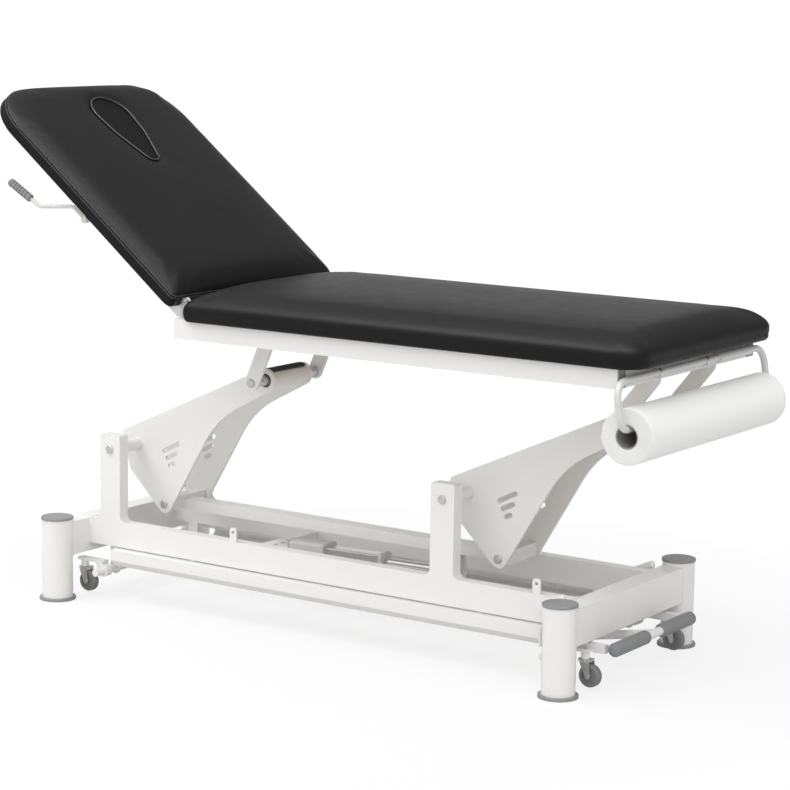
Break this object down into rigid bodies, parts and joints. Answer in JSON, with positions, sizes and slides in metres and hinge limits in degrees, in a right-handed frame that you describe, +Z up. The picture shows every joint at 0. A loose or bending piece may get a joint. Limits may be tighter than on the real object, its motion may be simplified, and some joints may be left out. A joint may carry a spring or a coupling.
{
  "type": "examination table",
  "caption": "Upholstered examination table on a lifting parallelogram base, with a hinged backrest, face opening plug, paper roll holder and retractable castors.",
  "frame": {"origin": "centre of the footprint of the whole table, on the floor", "axes": "+X from the head end to the foot end, +Y to the rear side, +Z up"},
  "size_m": [1.7888, 0.669, 1.1975],
  "materials": {
    "white_paint": "satin powder coat",
    "leatherette": "soft sheen, fine grain",
    "plywood": "plain plywood",
    "cap_plastic": "moulded grey",
    "grip_foam": "closed cell foam",
    "buffer_rubber": "black",
    "zinc_steel": "zinc plated",
    "bright_steel": "polished",
    "motor_plastic": "light grey housing",
    "barrel_metal": "extruded",
    "dark_cylinder": "black",
    "paper": "white crepe",
    "card": "plain tube",
    "wheel_grey": "grey tread"
  },
  "bodies": {
    "base": {"leg_tubes_front": "white_paint", "leg_tubes_rear": "white_paint", "leg_caps": "cap_plastic", "foot_pads": "cap_plastic", "cross_beam_head": "white_paint", "cross_beam_foot": "white_paint", "side_beam_front": "white_paint", "side_beam_rear": "white_paint", "posts_front": "white_paint", "posts_rear": "white_paint", "crank_pivot_pins": "zinc_steel", "base_cross_member": "white_paint", "beam_brackets": "white_paint", "lift_hangers": "white_paint"},
    "head_crank": {"head_crank_plate_front": "white_paint", "head_crank_plate_rear": "white_paint", "head_torque_tube": "white_paint", "head_crank_bolts": "zinc_steel", "buffer_strip": "buffer_rubber"},
    "foot_crank": {"foot_crank_plate_front": "white_paint", "foot_crank_plate_rear": "white_paint", "foot_torque_tube": "white_paint", "foot_crank_bolts": "zinc_steel"},
    "tie_bar": {"tie_bar": "white_paint"},
    "bed": {"bed_rails": "white_paint", "bed_cross_rails": "white_paint", "bed_brackets": "white_paint", "seat_board": "plywood", "seat_cushion": "leatherette", "bed_hinges": "zinc_steel", "roll_holder": "white_paint", "roll_clamps": "bright_steel"},
    "backrest": {"backrest_frame": "white_paint", "backrest_board": "plywood", "backrest_cushion": "leatherette"},
    "face_plug": {"face_plug": "leatherette"},
    "gas_cylinder": {"gas_cylinder": "dark_cylinder"},
    "gas_rod": {"gas_rod": "zinc_steel"},
    "release": {"release_lever": "white_paint", "release_grip": "grip_foam"},
    "actuator": {"actuator_motor": "motor_plastic", "actuator_tube": "barrel_metal"},
    "actuator_rod": {"actuator_rod": "bright_steel"},
    "roll": {"roll_core": "card", "paper_roll": "paper"},
    "foot_bar_front": {"foot_bar_front": "white_paint"},
    "foot_bar_rear": {"foot_bar_rear": "white_paint"},
    "lift_head": {"lift_shaft_head": "white_paint"},
    "lift_foot": {"lift_shaft_foot": "white_paint", "pedal_grips": "grip_foam"},
    "side_lever_front": {"side_lever_front": "white_paint"},
    "side_lever_rear": {"side_lever_rear": "white_paint"},
    "castor_fork_head_front": {"castor_fork_head_front": "zinc_steel"},
    "castor_wheel_head_front": {"castor_wheel_head_front": "wheel_grey"},
    "castor_fork_head_rear": {"castor_fork_head_rear": "zinc_steel"},
    "castor_wheel_head_rear": {"castor_wheel_head_rear": "wheel_grey"},
    "castor_fork_foot_front": {"castor_fork_foot_front": "zinc_steel"},
    "castor_wheel_foot_front": {"castor_wheel_foot_front": "wheel_grey"},
    "castor_fork_foot_rear": {"castor_fork_foot_rear": "zinc_steel"},
    "castor_wheel_foot_rear": {"castor_wheel_foot_rear": "wheel_grey"}
  },
  "joints": [
    {"name": "lift", "type": "hinge", "parent": "base", "child": "head_crank", "pos_m": [-0.61355, 0, 0.357], "axis": [0, -1, 0], "range_deg": [-34, 30]},
    {"name": "bed_pivot", "type": "hinge", "parent": "head_crank", "child": "bed", "pos_m": [-0.23355, 0, 0.547], "axis": [0, -1, 0], "range_deg": [-30, 34]},
    {"name": "foot_crank_pivot", "type": "hinge", "parent": "base", "child": "foot_crank", "pos_m": [0.32245, 0, 0.357], "axis": [0, -1, 0], "range_deg": [-34, 30]},
    {"name": "tie_pivot", "type": "hinge", "parent": "head_crank", "child": "tie_bar", "pos_m": [-0.53255, 0, 0.219], "axis": [0, -1, 0], "range_deg": [-30, 34]},
    {"name": "actuator_pivot", "type": "hinge", "parent": "base", "child": "actuator", "pos_m": [-0.21905, 0, 0.143], "axis": [0, -1, 0], "range_deg": [-5.5, 4.9]},
    {"name": "actuator_stroke", "type": "slide", "parent": "actuator", "child": "actuator_rod", "axis": [0.9998, 0, 0.022], "range_m": [-0.082, 0.0724]},
    {"name": "backrest_hinge", "type": "hinge", "parent": "bed", "child": "backrest", "pos_m": [-0.30855, 0, 0.742], "axis": [0, 1, 0], "range_deg": [-38, 24]},
    {"name": "gas_spring_pivot", "type": "hinge", "parent": "bed", "child": "gas_cylinder", "pos_m": [-0.28205, 0, 0.64], "axis": [0, 1, 0], "range_deg": [-29, 18.4]},
    {"name": "gas_spring_stroke", "type": "slide", "parent": "gas_cylinder", "child": "gas_rod", "axis": [-0.7953, 0, 0.6062], "range_m": [-0.0479, 0.0303]},
    {"name": "release_hinge", "type": "hinge", "parent": "backrest", "child": "release", "pos_m": [-0.60516, -0.268, 0.90648], "axis": [0, 1, 0], "range_deg": [0, 8], "stiffness_Nm_per_rad": 3},
    {"name": "face_plug_slide", "type": "slide", "parent": "backrest", "child": "face_plug", "axis": [0.6157, 0, 0.788], "range_m": [0, 0.06]},
    {"name": "roll_spin", "type": "hinge", "parent": "bed", "child": "roll", "pos_m": [0.83695, 0, 0.57], "axis": [0, 1, 0], "continuous": true},
    {"name": "foot_bar_front_hinge", "type": "hinge", "parent": "base", "child": "foot_bar_front", "pos_m": [-0.01755, -0.167, 0.118], "axis": [1, 0, 0], "range_deg": [-5, 5], "stiffness_Nm_per_rad": 80, "springref_deg": -0.4},
    {"name": "foot_bar_rear_hinge", "type": "hinge", "parent": "base", "child": "foot_bar_rear", "pos_m": [-0.01755, 0.167, 0.118], "axis": [1, 0, 0], "range_deg": [-5, 5], "stiffness_Nm_per_rad": 80, "springref_deg": 0.4},
    {"name": "wheel_lift_foot", "type": "hinge", "parent": "base", "child": "lift_foot", "pos_m": [0.60795, 0, 0.066], "axis": [0, 1, 0], "range_deg": [0, 12]},
    {"name": "wheel_lift_head", "type": "hinge", "parent": "base", "child": "lift_head", "pos_m": [-0.62105, 0, 0.066], "axis": [0, 1, 0], "range_deg": [-12, 0]},
    {"name": "swivel_head_front", "type": "hinge", "parent": "lift_head", "child": "castor_fork_head_front", "pos_m": [-0.68505, -0.1845, 0.075], "axis": [0, 0, 1], "continuous": true},
    {"name": "wheel_head_front", "type": "hinge", "parent": "castor_fork_head_front", "child": "castor_wheel_head_front", "pos_m": [-0.67205, -0.1845, 0.034], "axis": [0, 1, 0], "continuous": true},
    {"name": "swivel_head_rear", "type": "hinge", "parent": "lift_head", "child": "castor_fork_head_rear", "pos_m": [-0.68505, 0.1845, 0.075], "axis": [0, 0, 1], "continuous": true},
    {"name": "wheel_head_rear", "type": "hinge", "parent": "castor_fork_head_rear", "child": "castor_wheel_head_rear", "pos_m": [-0.67205, 0.1845, 0.034], "axis": [0, 1, 0], "continuous": true},
    {"name": "swivel_foot_front", "type": "hinge", "parent": "lift_foot", "child": "castor_fork_foot_front", "pos_m": [0.68995, -0.1845, 0.075], "axis": [0, 0, 1], "continuous": true},
    {"name": "wheel_foot_front", "type": "hinge", "parent": "castor_fork_foot_front", "child": "castor_wheel_foot_front", "pos_m": [0.70295, -0.1845, 0.034], "axis": [0, 1, 0], "continuous": true},
    {"name": "swivel_foot_rear", "type": "hinge", "parent": "lift_foot", "child": "castor_fork_foot_rear", "pos_m": [0.68995, 0.1845, 0.075], "axis": [0, 0, 1], "continuous": true},
    {"name": "wheel_foot_rear", "type": "hinge", "parent": "castor_fork_foot_rear", "child": "castor_wheel_foot_rear", "pos_m": [0.70295, 0.1845, 0.034], "axis": [0, 1, 0], "continuous": true},
    {"name": "side_lever_front_hinge", "type": "hinge", "parent": "base", "child": "side_lever_front", "pos_m": [0.58495, -0.193, 0.165], "axis": [0, 1, 0], "range_deg": [-30, 0]},
    {"name": "side_lever_rear_hinge", "type": "hinge", "parent": "base", "child": "side_lever_rear", "pos_m": [0.58495, 0.193, 0.165], "axis": [0, 1, 0], "range_deg": [-30, 0]}
  ],
  "couplings": [
    {"joint": "bed_pivot", "follows": "lift", "ratio": -1},
    {"joint": "foot_crank_pivot", "follows": "lift", "ratio": 1},
    {"joint": "tie_pivot", "follows": "lift", "ratio": -1},
    {"joint": "actuator_pivot", "follows": "lift", "ratio": 0.16},
    {"joint": "actuator_stroke", "follows": "lift", "m_per_rad": 0.138},
    {"joint": "gas_spring_pivot", "follows": "backrest_hinge", "ratio": 0.76},
    {"joint": "gas_spring_stroke", "follows": "backrest_hinge", "m_per_rad": 0.072},
    {"joint": "wheel_lift_head", "follows": "wheel_lift_foot", "ratio": -1}
  ]
}
